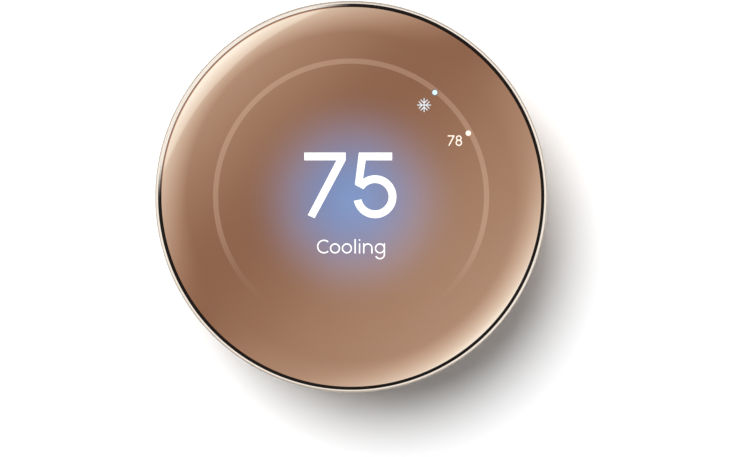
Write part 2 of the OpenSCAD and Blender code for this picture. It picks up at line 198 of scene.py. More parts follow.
def pick(piece):
    """Makes piece the only selected object and the active one."""
    deselect()
    piece.select_set(True)
    bpy.context.view_layer.objects.active = piece


def edit(piece):
    """Opens piece in edit mode with everything in it selected."""
    pick(piece)
    bpy.ops.object.mode_set(mode="EDIT")
    bpy.ops.mesh.select_all(action="SELECT")


def done():
    bpy.ops.object.mode_set(mode="OBJECT")


def select_ring(piece, count):
    """Selects the first ring of a turned piece that is open in edit mode."""
    mesh = bmesh.from_edit_mesh(piece.data)
    mesh.verts.ensure_lookup_table()
    for v in mesh.verts:
        v.select = v.index < count
    mesh.select_flush_mode()
    bmesh.update_edit_mesh(piece.data)


def turned(name, profile, origin=(0, 0, 0), axis=(0, -1, 0), facets=64, closed=False):
    """A piece turned about axis through origin. profile is its (radius, distance along the axis) points in
    order; a radius of 0 at an end closes it with a pole, and closed joins the last ring to the first."""
    origin, axis = Vector(origin), Vector(axis)
    rings = [p for p in profile if p[0] > 0] + ([profile[0]] if closed else [])
    turn = axis.to_track_quat("Z", "Y").to_euler()
    radius, height = rings[0]
    deselect()
    bpy.ops.mesh.primitive_circle_add(
        vertices=facets, radius=radius, location=origin + axis * height, rotation=turn
    )
    piece = bpy.context.active_object
    piece.name = piece.data.name = name
    bpy.ops.object.transform_apply(location=True, rotation=True, scale=True)
    edit(piece)
    for r, h in rings[1:]:
        bpy.ops.mesh.extrude_region_move(TRANSFORM_OT_translate={"value": axis * (h - height)})
        k = r / radius
        bpy.ops.transform.resize(value=(k, k, k), center_override=origin + axis * h)
        radius, height = r, h
    if profile[-1][0] == 0:
        bpy.ops.mesh.extrude_region_move(TRANSFORM_OT_translate={"value": axis * (profile[-1][1] - height)})
        bpy.ops.mesh.merge(type="CENTER")
    if profile[0][0] == 0:
        select_ring(piece, facets)
        bpy.ops.mesh.extrude_region_move(
            TRANSFORM_OT_translate={"value": axis * (profile[0][1] - rings[0][1])}
        )
        bpy.ops.mesh.merge(type="CENTER")
    bpy.ops.mesh.select_all(action="SELECT")
    bpy.ops.mesh.remove_doubles(threshold=1e-6)
    bpy.ops.mesh.normals_make_consistent(inside=False)
    done()
    return piece


def smooth(piece, angle=30):
    pick(piece)
    bpy.ops.object.shade_smooth_by_angle(angle=math.radians(angle))


def modify(piece, kind, **settings):
    """Adds a modifier with these settings and applies it."""
    pick(piece)
    m = piece.modifiers.new(kind.title(), kind)
    for key, value in settings.items():
        setattr(m, key, value)
    bpy.ops.object.modifier_apply(modifier=m.name)


def softened(node, edge, angle=40, segments=2):
    """A copy of a CAD node with its flat faces made whole. Its edges are rounded to radius edge, or stay sharp
    where that is 0."""
    pick(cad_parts[node])
    bpy.ops.object.duplicate()
    piece = bpy.context.active_object
    for key in list(piece.keys()):
        del piece[key]
    piece.parent = None
    piece.name = piece.data.name = node + "_finished"
    edit(piece)
    bpy.ops.mesh.customdata_custom_splitnormals_clear()
    bpy.ops.mesh.remove_doubles(threshold=1e-6)
    bpy.ops.mesh.dissolve_limited(angle_limit=math.radians(0.4))
    bpy.ops.mesh.vert_connect_concave()
    done()
    smooth(piece, 35)
    if edge:
        modify(
            piece, "BEVEL", width=edge, segments=segments, limit_method="ANGLE",
            angle_limit=math.radians(angle), use_clamp_overlap=True, miter_outer="MITER_ARC",
            harden_normals=True,
        )
    return piece


def settle(piece, body, slot, material, *nodes):
    """Gives a finished piece its material and its body, and hides the CAD nodes that it stands for. slot is
    not used.
    """
    piece.data.materials.clear()
    piece.data.materials.append(material)
    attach(piece, body)
    if nodes:
        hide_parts(*nodes)


def coat(node, material):
    """Gives a kept CAD node its material."""
    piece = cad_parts[node]
    piece.data.materials.clear()
    piece.data.materials.append(material)


# ------------------------------------------------------------------ strokes of figures and marks


def run(*corners, step=1.0):
    """Points along straight lines between corners, no further apart than step."""
    points = [corners[0]]
    for (x0, z0), (x1, z1) in zip(corners, corners[1:]):
        count = max(1, math.ceil(math.hypot(x1 - x0, z1 - z0) / step))
        points += [(x0 + (x1 - x0) * i / count, z0 + (z1 - z0) * i / count) for i in range(1, count + 1)]
    return points


def arc(x, z, r, start, end, step=7.5):
    """Points along an arc about (x, z), with angles in degrees, anticlockwise where end is past start."""
    count = max(2, math.ceil(abs(end - start) / step))
    angles = [math.radians(start + (end - start) * i / count) for i in range(count + 1)]
    return [(x + r * math.cos(a), z + r * math.sin(a)) for a in angles]


def outline(path, width):
    """Closed outline of a stroke of that width along path, with square ends and mitred corners."""
    path = [p for i, p in enumerate(path) if i == 0 or math.dist(p, path[i - 1]) > 1e-6]
    left, right = [], []
    for i, p in enumerate(path):
        around = [path[max(i - 1, 0)], p, path[min(i + 1, len(path) - 1)]]
        steps = [(Vector(b) - Vector(a)).normalized() for a, b in zip(around, around[1:]) if a != b]
        along = sum(steps, Vector((0, 0))).normalized()
        reach = width / 2 / max(0.5, along.dot(steps[0]))
        side = Vector((-along.y, along.x)) * reach
        left.append(tuple(Vector(p) + side))
        right.append(tuple(Vector(p) - side))
    return [left + right[::-1]]


def hoop(x, z, r, width):
    """Outlines of a closed ring stroke."""
    return [arc(x, z, r + width / 2, 0, 352, 8), arc(x, z, r - width / 2, 0, 352, 8)]


def disc(x, z, r):
    return [arc(x, z, r, 0, 350, 10)]


def moved(strokes, x, z, size=1.0):
    """Strokes scaled by size and then moved."""
    return [[[(x + px * size, z + pz * size) for px, pz in loop] for loop in loops] for loops in strokes]


def loop_of(x, z, r, tall):
    """Points of an upright oval: its lower round end is about (x, z), its upper one tall above that."""
    return arc(x, z + tall, r, 0, 180, 12) + arc(x, z, r, 180, 360, 12)


def figure(digit, t):
    """Strokes, t wide, of a figure 1 high."""
    w = 0.63
    if digit == 0:
        r = w / 2
        return [[loop_of(r, r, r, 1 - 2 * r), loop_of(r, r, r - t, 1 - 2 * r)]]
    if digit == 1:
        return [outline(run((0.1, 0.76), (0.36, 1 - t), (0.36, 0)), t)]
    if digit == 2:
        return [outline(arc(0.31, 0.71, 0.29 - t / 2, 165, -38) + run((0.07, t / 2), (0.62, t / 2)), t)]
    if digit == 3:
        return [
            outline(arc(0.29, 0.735, 0.265 - t / 2, 155, -90), t),
            outline(arc(0.29, 0.29, 0.29 - t / 2, 90, -155), t),
        ]
    if digit == 4:
        return [
            outline(run((0.66, 0.26), (0.07, 0.26), (0.47, 1)), t),
            outline(run((0.49, 0.72), (0.49, 0)), t),
        ]
    if digit == 5:
        r = 0.327
        bowl = arc(r, r, r, 124, -169)
        inner = arc(r, r, r - t, -169, 147)
        bar = run((0.082, 1), (0.589, 1), (0.589, 1 - t), (0.186, 1 - t), bowl[0], step=0.07)
        return [[bar[:-1] + bowl + inner + run(inner[-1], (0.021, 0.51), bar[0], step=0.07)[1:-1]]]
    if digit == 6:
        r = 0.31
        return [hoop(r, r, r - t / 2, t), outline(arc(0.78, r, 0.78 - t / 2, 180, 118), t)]
    if digit == 7:
        foot, shelf = 0.25 * w, (0.78 * w, 1 - t)
        corners = [(0, 1), (w, 1), (w, 1 - t), (foot, 0), (foot - 0.88 * t, 0.39 * t), shelf, (0, 1 - t)]
        return [[run(*corners, corners[0], step=0.07)[:-1]]]
    if digit == 8:
        low, high = 0.305, 0.268
        return [hoop(low, low, low - t / 2, t), hoop(low, 1 - high, high - t / 2, t)]
    return [[[(0.62 - x, 1 - z) for x, z in loop] for loop in loops] for loops in figure(6, t)]


def word(small, t):
    """The status word, with small letters that high; returns its strokes and its width."""
    tall, strokes, x = small * 1.36, [], 0.0
    r = small / 2 - t / 2

    def letter(shapes, width, gap=0.0):
        nonlocal x
        strokes.extend(moved(shapes, x, 0))
        x += width + gap * small

    def round_letter():
        return hoop(small / 2, small / 2, r, t)

    big = tall / 2 - t / 2
    letter([outline(arc(tall / 2, tall / 2, big, 48, 312), t)], tall * 0.86, 0.10)
    letter([round_letter()], small, 0.17)
    letter([round_letter()], small, 0.25)
    letter([outline(run((t / 2, 0), (t / 2, tall * 1.04)), t)], t, 0.31)
    letter([outline(run((t / 2, 0), (t / 2, small)), t), disc(t / 2, tall * 0.97, t * 0.62)], t, 0.29)
    arch = small * 0.40
    letter(
        [
            outline(run((t / 2, 0), (t / 2, small)), t),
            outline(
                run((t / 2 + 2 * arch, 0), (t / 2 + 2 * arch, small - t / 2 - arch))
                + arc(t / 2 + arch, small - t / 2 - arch, arch, 0, 170), t
            ),
        ],
        2 * arch + t, 0.23,
    )
    letter(
        [
            round_letter(),
            outline(
                run((small - t / 2, small), (small - t / 2, -small * 0.08))
                + arc(small / 2, -small * 0.08, r, 0, -155), t
            ),
        ],
        small,
    )
    return strokes, x


def snowflake(t):
    """A snowflake of radius 1: four arms, each with a pair of branches."""
    strokes = [outline(run((-1, 0), (1, 0), step=0.5), t), outline(run((0, -1), (0, 1), step=0.5), t)]
    for turn in range(4):
        c, s = (1, 0, -1, 0)[turn], (0, 1, 0, -1)[turn]
        for side in (-1, 1):
            branch = [(0.27, 0), (0.76, 0.49 * side)]
            strokes.append(outline(run(*[(c * a - s * b, s * a + c * b) for a, b in branch], step=0.5), t))
    return strokes


def laid(name, strokes, depth, target=None, thickness=0.00003):
    """Thin marks made from strokes in millimetres across the face. They lie on target where one is given, and
    otherwise on the plane at that depth."""
    parts = []
    for loops in strokes:
        curve = bpy.data.curves.new(name, "CURVE")
        curve.dimensions = "2D"
        curve.fill_mode = "BOTH"
        for loop in loops:
            spline = curve.splines.new("POLY")
            spline.points.add(len(loop) - 1)
            for point, (x, z) in zip(spline.points, loop):
                point.co = (x * MM, z * MM, 0, 1)
            spline.use_cyclic_u = True
        part = bpy.data.objects.new(name, curve)
        bpy.context.scene.collection.objects.link(part)
        parts.append(part)
    deselect()
    for part in parts:
        part.select_set(True)
    bpy.context.view_layer.objects.active = parts[0]
    bpy.ops.object.convert(target="MESH")
    if len(parts) > 1:
        bpy.ops.object.join()
    piece = bpy.context.active_object
    piece.name = piece.data.name = name
    piece.location = (0, -depth, 0)
    piece.rotation_euler = (math.pi / 2, 0, 0)
    bpy.ops.object.transform_apply(location=True, rotation=True, scale=True)
    edit(piece)
    bpy.ops.mesh.remove_doubles(threshold=1e-7)
    done()
    if target:
        modify(
            piece, "SHRINKWRAP", target=target, wrap_method="PROJECT", use_project_y=True,
            use_positive_direction=True, use_negative_direction=True, offset=0.000008,
        )
    edit(piece)
    face_front(piece)
    bpy.ops.mesh.extrude_region_move(TRANSFORM_OT_translate={"value": (0, -thickness, 0)})
    bpy.ops.mesh.select_all(action="SELECT")
    bpy.ops.mesh.normals_make_consistent(inside=False)
    done()
    return piece


def face_front(piece):
    """Turns the flat faces of a piece that is open in edit mode towards the front."""
    mesh = bmesh.from_edit_mesh(piece.data)
    for f in mesh.faces:
        if f.normal.y > 0:
            f.normal_flip()
    bmesh.update_edit_mesh(piece.data)


# ------------------------------------------------------------------ finishes


def finish(name, colour, roughness, metallic=0.0, sockets=None):
    """A new material with these values on its Principled shader."""
    m = bpy.data.materials.new(name)
    m.use_nodes = True
    values = {"Base Color": (*colour, 1), "Roughness": roughness, "Metallic": metallic, **(sockets or {})}
    wire(m, m.node_tree.nodes["Principled BSDF"], values)
    return m


def wire(m, n, values):
    """Sets a node's sockets: another node's output is linked, and anything else is the socket's value."""
    for key, value in values.items():
        if isinstance(value, bpy.types.NodeSocket):
            m.node_tree.links.new(value, n.inputs[key])
        else:
            n.inputs[key].default_value = value


def add(m, kind, values=None, out=0, **settings):
    """Adds a node with these settings and socket values, and returns its output."""
    n = m.node_tree.nodes.new("ShaderNode" + kind)
    for key, value in settings.items():
        setattr(n, key, value)
    wire(m, n, values or {})
    return n.outputs[out]


def shade(m, **values):
    """Links outputs to the shader's sockets, which are named with underscores."""
    shader = m.node_tree.nodes["Principled BSDF"]
    wire(m, shader, {key.replace("_", " ").title(): value for key, value in values.items()})
    return m


def here(m, scale=(1, 1, 1), turn=(0, 0, 0)):
    """Place on the object, stretched and turned."""
    place = add(m, "TexCoord", out=3)
    if tuple(scale) == (1, 1, 1) and tuple(turn) == (0, 0, 0):
        return place
    return add(m, "Mapping", {"Vector": place, "Scale": scale, "Rotation": turn})


def cloud(m, size, detail=3, at=None, roughness=0.55):
    """Cloudy noise from 0 to 1 with lumps of about that size in metres."""
    values = {"Vector": at or here(m), "Scale": 1 / size, "Detail": detail, "Roughness": roughness}
    return add(m, "TexNoise", values)


def spread(m, value, low, high, start, end, smooth_step=False):
    """Maps value from low..high to start..end."""
    values = {"Value": value, "From Min": low, "From Max": high, "To Min": start, "To Max": end}
    return add(m, "MapRange", values, interpolation_type="SMOOTHSTEP" if smooth_step else "LINEAR")


def sums(m, operation, a, b=0.0, clamp=False):
    """One step of arithmetic."""
    return add(m, "Math", {0: a, 1: b}, operation=operation, use_clamp=clamp)


def mixed(m, share, a, b):
    """Colour that goes from a to b as share goes from 0 to 1."""
    a, b = (c if isinstance(c, bpy.types.NodeSocket) else (*c, 1) for c in (a, b))
    return add(m, "Mix", {0: share, 6: a, 7: b}, out=2, data_type="RGBA")


def relief(m, height, depth):
    """Bumps of that depth in metres."""
    return add(m, "Bump", {"Height": height, "Distance": depth, "Strength": 1.0})


def axes(m, vector):
    """The x, y and z of a vector."""
    apart = m.node_tree.nodes.new("ShaderNodeSeparateXYZ")
    wire(m, apart, {0: vector})
    return apart.outputs


def squares(m, a, b):
    return sums(m, "ADD", sums(m, "MULTIPLY", a, a), sums(m, "MULTIPLY", b, b))


def from_axis(m, a, b):
    """Distance from the axis of a place a to the right and b above."""
    return sums(m, "SQRT", squares(m, a, b))


def tinted(colour, k):
    return tuple(min(1.0, c * k) for c in colour)


def moulded(name, colour, roughness=0.5, grain=0.00016, depth=0.000005, gloss=0.08):
    """Moulded plastic: spark-eroded grain, slightly uneven gloss, faint flow marks and some dust."""
    m = finish(name, colour, roughness, sockets={"IOR": 1.5})
    flow = cloud(m, 0.011, 4, here(m, (1, 1, 0.35)))
    dust = cloud(m, 0.0016, 5)
    base = mixed(m, spread(m, flow, 0.35, 0.65, 0, 1), tinted(colour, 0.95), tinted(colour, 1.04))
    base = mixed(m, spread(m, dust, 0.56, 0.74, 0, 0.16), base, tinted(colour, 0.78))
    rough = spread(m, cloud(m, 0.004, 4), 0.3, 0.7, roughness - gloss, roughness + gloss)
    fine = cloud(m, grain, 2, roughness=0.6)
    return shade(m, base_color=base, roughness=rough, normal=relief(m, fine, depth))


def plated(name, colour, roughness=0.28, streak=(1, 1, 14), size=0.0012, stain=0.82):
    """Bright plated metal with drawn streaks, light stains and fine scratches."""
    m = finish(name, colour, roughness, 1.0)
    streaks = cloud(m, size, 4, here(m, streak))
    stains = cloud(m, 0.0045, 4)
    base = mixed(m, spread(m, stains, 0.42, 0.72, 0, 1), colour, tinted(colour, stain))
    rough = sums(m, "ADD", spread(m, streaks, 0.3, 0.7, roughness - 0.07, roughness + 0.07),
                 spread(m, stains, 0.5, 0.8, 0, 0.1))
    return shade(m, base_color=base, roughness=rough, normal=relief(m, streaks, 0.0000005))


def lens_mirror(colours, look):
    """Half mirror in rose bronze under clear glass, with the light of the display coming through it."""
    m = finish("rose_bronze_half_mirror", colours.lens, 0.04, 1.0, {"Coat Weight": 1.0, "Coat IOR": 1.5})
    wire(m, m.node_tree.nodes["Principled BSDF"], {"Coat Roughness": 0.02, "Emission Strength": 1.0})
    x, _, z = axes(m, here(m))
    # the glow's middle lies 0.4 mm right of and 0.6 mm below the axis
    right, up = sums(m, "SUBTRACT", x, 0.0004), sums(m, "ADD", z, 0.0006)
    far = sums(m, "DIVIDE", squares(m, right, up), look.glow_radius ** 2)
    near = sums(m, "POWER", sums(m, "SUBTRACT", 1.0, far, clamp=True), 3.1)
    uneven = spread(m, cloud(m, 0.009, 2), 0.3, 0.7, 0.97, 1.03)
    glow = mixed(m, sums(m, "MULTIPLY", near, uneven), (0, 0, 0), tuple(look.glow_colour))
    off = sums(m, "ABSOLUTE", sums(m, "SUBTRACT", from_axis(m, x, z), look.ring_radius))
    half, blur = look.ring_width / 2, 0.00006
    band = spread(m, off, half - blur, half + blur, 1, 0, True)
    fade = spread(m, z, -0.0236, -0.0040, 0, 1, True)
    ring = mixed(m, sums(m, "MULTIPLY", band, fade), (0, 0, 0), tuple(look.ring_colour))
    light = add(m, "Mix", {0: 1.0, 6: glow, 7: ring}, out=2, data_type="RGBA", blend_type="ADD")
    haze = cloud(m, 0.013, 5, roughness=0.6)
    paler, deeper = tinted(colours.lens, 1.015), tinted(colours.lens, 0.985)
    film = mixed(m, spread(m, haze, 0.35, 0.7, 0, 1), paler, deeper)
    rough = spread(m, haze, 0.4, 0.75, 0.032, 0.055)
    ripple = relief(m, cloud(m, 0.02, 2), 0.0000012)
    return shade(m, base_color=film, roughness=rough, emission_color=light, normal=ripple)


def polished_bezel(colours):
    """Champagne metal, turned and then polished, so that fine rings still show round the axis."""
    m = finish("polished_champagne", colours.bezel, 0.14, 1.0)
    x, y, z = axes(m, here(m))
    across = add(m, "CombineXYZ", {0: from_axis(m, x, z), 1: y})
    lines = add(m, "TexNoise", {"Vector": across, "Scale": 9000.0, "Detail": 2.0})
    handled = cloud(m, 0.012, 4)
    base = mixed(m, spread(m, handled, 0.35, 0.7, 0, 1), colours.bezel, tinted(colours.bezel, 0.95))
    rough = sums(m, "ADD", spread(m, lines, 0.3, 0.7, 0.10, 0.17), spread(m, handled, 0.45, 0.75, 0, 0.06))
    return shade(m, base_color=base, roughness=rough, normal=relief(m, lines, 0.000001))


def circuit_board(name):
    """Green solder mask over copper tracks, with plated holes and a faint weave of the glass below."""
    green, over_copper, gold = (0.010, 0.085, 0.045), (0.020, 0.150, 0.075), (0.72, 0.52, 0.20)
    pitch = 0.0016
    m = finish(name, green, 0.32, sockets={"Coat Weight": 0.35, "Coat Roughness": 0.15})
    flat = here(m, (1, 0, 1))
    cells = add(m, "TexVoronoi", {"Vector": flat, "Scale": 1 / (pitch * 2.2), "Randomness": 0.85},
                feature="DISTANCE_TO_EDGE")
    tracks = spread(m, cells, 0.05, 0.075, 1, 0, True)
    fine = add(m, "TexVoronoi", {"Vector": here(m, (1, 0, 1), (0, 0.785, 0)), "Scale": 1 / (pitch * 0.9),
                                 "Randomness": 0.2}, feature="DISTANCE_TO_EDGE")
    lanes = sums(m, "MULTIPLY", spread(m, fine, 0.06, 0.1, 1, 0, True),
                 spread(m, cloud(m, 0.008, 1, flat), 0.5, 0.56, 0, 1, True))
    copper = sums(m, "MAXIMUM", tracks, lanes)
    dots = add(m, "TexVoronoi", {"Vector": flat, "Scale": 1 / (pitch * 1.7), "Randomness": 0.7})
    holes = spread(m, dots, 0.10, 0.13, 1, 0, True)
    weave = add(m, "TexWave", {"Vector": here(m, (1, 0, 1), (0, 0.785, 0)), "Scale": 900.0,
                               "Distortion": 1.5})
    ground = mixed(m, sums(m, "MULTIPLY", weave, 0.12), green, over_copper)
    base = mixed(m, holes, mixed(m, copper, ground, over_copper), gold)
    height = sums(m, "SUBTRACT", sums(m, "MULTIPLY", copper, 0.5), holes)
    rough = sums(m, "ADD", spread(m, cloud(m, 0.003, 3), 0.3, 0.7, 0.26, 0.38),
                 sums(m, "MULTIPLY", holes, 0.08))
    return shade(m, base_color=base, metallic=holes, roughness=rough, normal=relief(m, height, 0.000025))


def epoxy(name):
    """Black moulded chip bodies: matt, with a fine grain of paler specks."""
    dark = (0.016, 0.016, 0.018)
    m = finish(name, dark, 0.55)
    speckle = cloud(m, 0.00025, 3)
    base = mixed(m, spread(m, speckle, 0.4, 0.7, 0, 1), dark, (0.040, 0.040, 0.043))
    rough = spread(m, cloud(m, 0.0022, 3), 0.35, 0.65, 0.46, 0.64)
    return shade(m, base_color=base, roughness=rough, normal=relief(m, speckle, 0.000006))


def film_amber(name):
    """Amber flex film with copper lanes that run along it below the surface."""
    film, lane = (0.52, 0.20, 0.022), (0.34, 0.095, 0.010)
    m = finish(name, film, 0.3, sockets={"Coat Weight": 0.5, "Coat Roughness": 0.12})
    lanes = add(m, "TexWave", {"Vector": here(m), "Scale": 420.0, "Distortion": 0.6, "Detail": 1.0},
                bands_direction="X")
    marks = spread(m, lanes, 0.45, 0.6, 0, 1, True)
    base = mixed(m, marks, film, lane)
    rough = spread(m, cloud(m, 0.002, 4), 0.3, 0.7, 0.22, 0.38)
    return shade(m, base_color=base, roughness=rough, normal=relief(m, marks, 0.000012))


def glowing(name, colour, strength):
    """Lit marks of the display: even light with the faint unevenness of the layer behind it."""
    m = finish(name, tinted(colour, 0.2), 0.4)
    uneven = cloud(m, 0.0032, 2)
    light = mixed(m, spread(m, uneven, 0.35, 0.65, 0, 1), tinted(colour, 0.97), colour)
    rough = spread(m, cloud(m, 0.0009, 2), 0.3, 0.7, 0.35, 0.45)
    wire(m, m.node_tree.nodes["Principled BSDF"], {"Emission Strength": strength})
    return shade(m, emission_color=light, roughness=rough)


def ink(name, colour):
    """Pad-printed ink: nearly flat, a little broken where the plastic's grain stands through."""
    m = finish(name, colour, 0.6)
    broken = cloud(m, 0.00022, 3)
    base = mixed(m, spread(m, broken, 0.62, 0.76, 0, 0.6), colour, tuple(min(1, c + 0.3) for c in colour))
    rough = spread(m, broken, 0.3, 0.7, 0.5, 0.7)
    return shade(m, base_color=base, roughness=rough)


def sleeve(name, colour):
    """Shrunk film sleeve of a cell, with fine creases along it and rubbed places."""
    roughness = 0.3
    m = finish(name, colour, roughness, sockets={"Coat Weight": 0.4, "Coat Roughness": 0.18})
    creases = cloud(m, 0.0014, 4, here(m, (0.12, 1, 1)))
    rubbed = cloud(m, 0.006, 5)
    base = mixed(m, spread(m, rubbed, 0.5, 0.72, 0, 0.35), colour, tuple(min(1, c + 0.12) for c in colour))
    rough = spread(m, rubbed, 0.35, 0.7, roughness - 0.06, roughness + 0.12)
    return shade(m, base_color=base, roughness=rough, normal=relief(m, creases, 0.00001))


def clear(name, colour, see_through, roughness):
    """Clear acrylic, spirit or air in the level vial; see_through is the share of light that passes."""
    m = finish(name, colour, roughness, sockets={"IOR": 1.49, "Alpha": 1 - see_through})
    swirl = cloud(m, 0.0022, 3, here(m, (0.3, 1, 1)))
    base = mixed(m, spread(m, swirl, 0.35, 0.65, 0, 1), tinted(colour, 0.93), colour)
    rough = spread(m, swirl, 0.3, 0.7, roughness, roughness + 0.05)
    return shade(m, base_color=base, roughness=rough)


def foam(name):
    """Black foam tape with open cells."""
    m = finish(name, (0.014, 0.013, 0.012), 0.85)
    pores = add(m, "TexVoronoi", {"Vector": here(m), "Scale": 3600.0})
    base = mixed(m, spread(m, pores, 0.1, 0.6, 0, 1), (0.004, 0.004, 0.004), (0.030, 0.028, 0.026))
    rough = spread(m, pores, 0.1, 0.6, 0.95, 0.78)
    return shade(m, base_color=base, roughness=rough, normal=relief(m, pores, 0.00003))


def display_glass(name):
    """Dark display glass with its grid of fine dots."""
    dark = (0.006, 0.008, 0.022)
    m = finish(name, dark, 0.08, sockets={"Coat Weight": 1.0, "Coat Roughness": 0.03})
    grid = add(m, "TexChecker", {"Vector": here(m), "Scale": 5200.0, "Color1": (*dark, 1),
                                 "Color2": (0.010, 0.014, 0.034, 1)})
    rough = spread(m, cloud(m, 0.008, 3), 0.3, 0.7, 0.06, 0.14)
    return shade(m, base_color=grid, roughness=rough)


def diffuser(name):
    """White diffuser film with rows of moulded dots."""
    m = finish(name, (0.82, 0.83, 0.84), 0.45)
    dots = add(m, "TexVoronoi", {"Vector": here(m), "Scale": 1500.0, "Randomness": 0.0})
    base = mixed(m, spread(m, dots, 0.15, 0.4, 0, 1), (0.90, 0.91, 0.92), (0.76, 0.77, 0.79))
    rough = spread(m, cloud(m, 0.005, 3), 0.3, 0.7, 0.38, 0.55)
    return shade(m, base_color=base, roughness=rough, normal=relief(m, dots, 0.00001))


# ------------------------------------------------------------------ head


class THERMOSTAT_OT_lens(bpy.types.Operator):
    """Turns the front lens, with its shallow dome and rolled edge"""

    bl_idname = "thermostat.lens"
    bl_label = "Front lens"

    def execute(self, context):
        scene = context.scene
        face, colours, look = scene.face_sizes, scene.finish_colours, scene.display_look
        low, front = depth_of("front_lens")
        edge = radius_of("front_lens") + LENS_OUT
        apex = front - face.lens_sink
        tilt = math.asin(face.roll_start / face.dome_radius)
        reach = face.dome_radius - face.roll_radius
        roll_r, roll_h = reach * math.sin(tilt), apex - face.dome_radius + reach * math.cos(tilt)

        def dome(r):
            if r <= face.roll_start:
                return apex - face.dome_radius + math.sqrt(face.dome_radius ** 2 - r ** 2)
            return roll_h + math.sqrt(face.roll_radius ** 2 - (r - roll_r) ** 2)

        land = radius_of("lens_adhesive") - 0.0042
        under = depth_of("display_panel")[1] + 0.0004
        rolled = edge - 0.00014  # where the last fine roll begins, at the slope that shows the dark line
        steps = [rolled - (rolled - face.roll_start) * i / 26 for i in range(26)]
        steps += [face.roll_start * (1 - i / 32) for i in range(32)]
        profile = [(0, under), (land - 0.002, under), (land, low), (edge - 0.0002, low), (edge, low + 0.0002)]
        profile += [(edge, dome(rolled) - 0.00005), (edge - 0.00007, dome(rolled) - 0.0000245)]
        profile += [(r, dome(r)) for r in steps] + [(0, apex)]
        piece = turned("lens", profile, facets=face.turns)
        smooth(piece, 20)
        settle(piece, "head", "lens_mirror", lens_mirror(colours, look), "front_lens")
        return {"FINISHED"}


class THERMOSTAT_OT_rim(bpy.types.Operator):
    """Turns the polished bezel and the black ring that parts it from the lens"""

    bl_idname = "thermostat.rim"
    bl_label = "Bezel and black ring"

    def execute(self, context):
        face, colours = context.scene.face_sizes, context.scene.finish_colours
        low, high = depth_of("bezel_ring")
        outer = radius_of("bezel_ring")
        inner = radius_of("lens_ring") + BEZEL_OUT
        r = face.bezel_round
        centre, start = outer - r, math.degrees(math.acos((inner + r - outer) / r))
        profile = [(inner, low), (outer, low)]
        profile += [
            (centre + r * math.cos(math.radians(a)), low + r * math.sin(math.radians(a)))
            for a in [start * i / 22 for i in range(1, 23)]
        ]
        bezel = turned("bezel", profile, facets=face.turns, closed=True)
        smooth(bezel, 35)
        settle(bezel, "head", "bezel_metal", polished_bezel(colours), "bezel_ring")

        low, high = depth_of("lens_ring")
        inner, outer = radius_of("front_lens") + RING_OUT, radius_of("lens_ring") + RING_OUT
        crest, step = [(inner, high)], (outer - inner) / 6
        for slope in (19.5, 20.5, 21.5, 23, 24.5, 25.5):
            crest.append((crest[-1][0] + step, crest[-1][1] - step * math.tan(math.radians(slope))))
        profile = [(inner, low), (outer, low)] + crest[::-1]
        ring = turned("ring", profile, facets=face.turns, closed=True)
        smooth(ring, 40)
        gloss = moulded("gloss_black", (0.010, 0.008, 0.007), 0.07, 0.0004, 0.0000003, 0.02)
        wire(gloss, gloss.node_tree.nodes["Principled BSDF"], {"IOR": 2.8})
        settle(ring, "head", "ring_black", gloss, "lens_ring")
        return {"FINISHED"}


class THERMOSTAT_OT_shell(bpy.types.Operator):
    """Turns the shell, whose side curves in towards the wall"""

    bl_idname = "thermostat.shell"
    bl_label = "Side shell"

    def execute(self, context):
        face, colours = context.scene.face_sizes, context.scene.finish_colours
        low, high = depth_of("outer_shell")
        outer, wall, lip = radius_of("outer_shell"), 0.0016, 0.0003
        middle = outer - face.side_arc
        frame_low, ledge_in, ledge = depth_of("mid_frame")[0], 0.0386, 0.00095

        def side(radius, h):
            return middle + math.sqrt(radius ** 2 - (high - h) ** 2)

        outside = [low + lip + (high - low - lip) * i / 40 for i in range(41)]
        profile = [(side(face.side_arc - lip, low), low)]
        profile += [(side(face.side_arc, h), h) for h in outside]
        inside = [high, frame_low, frame_low - 0.00005]
        inner = face.side_arc - wall
        profile += [(side(inner, h), h) for h in inside[:2]]
        profile += [(ledge_in, frame_low - 0.00005), (ledge_in, frame_low - ledge)]
        below = frame_low - ledge - 0.0001
        profile += [(side(inner, h), h) for h in [below - (below - low - lip) * i / 30 for i in range(31)]]
        profile += [(side(inner + lip, low), low)]
        piece = turned("shell", profile, facets=face.turns, closed=True)
        smooth(piece, 35)
        sand = moulded("sand_satin", colours.shell, 0.42, 0.00022, 0.000004, 0.06)
        settle(piece, "head", "shell_plastic", sand, "outer_shell")
        return {"FINISHED"}


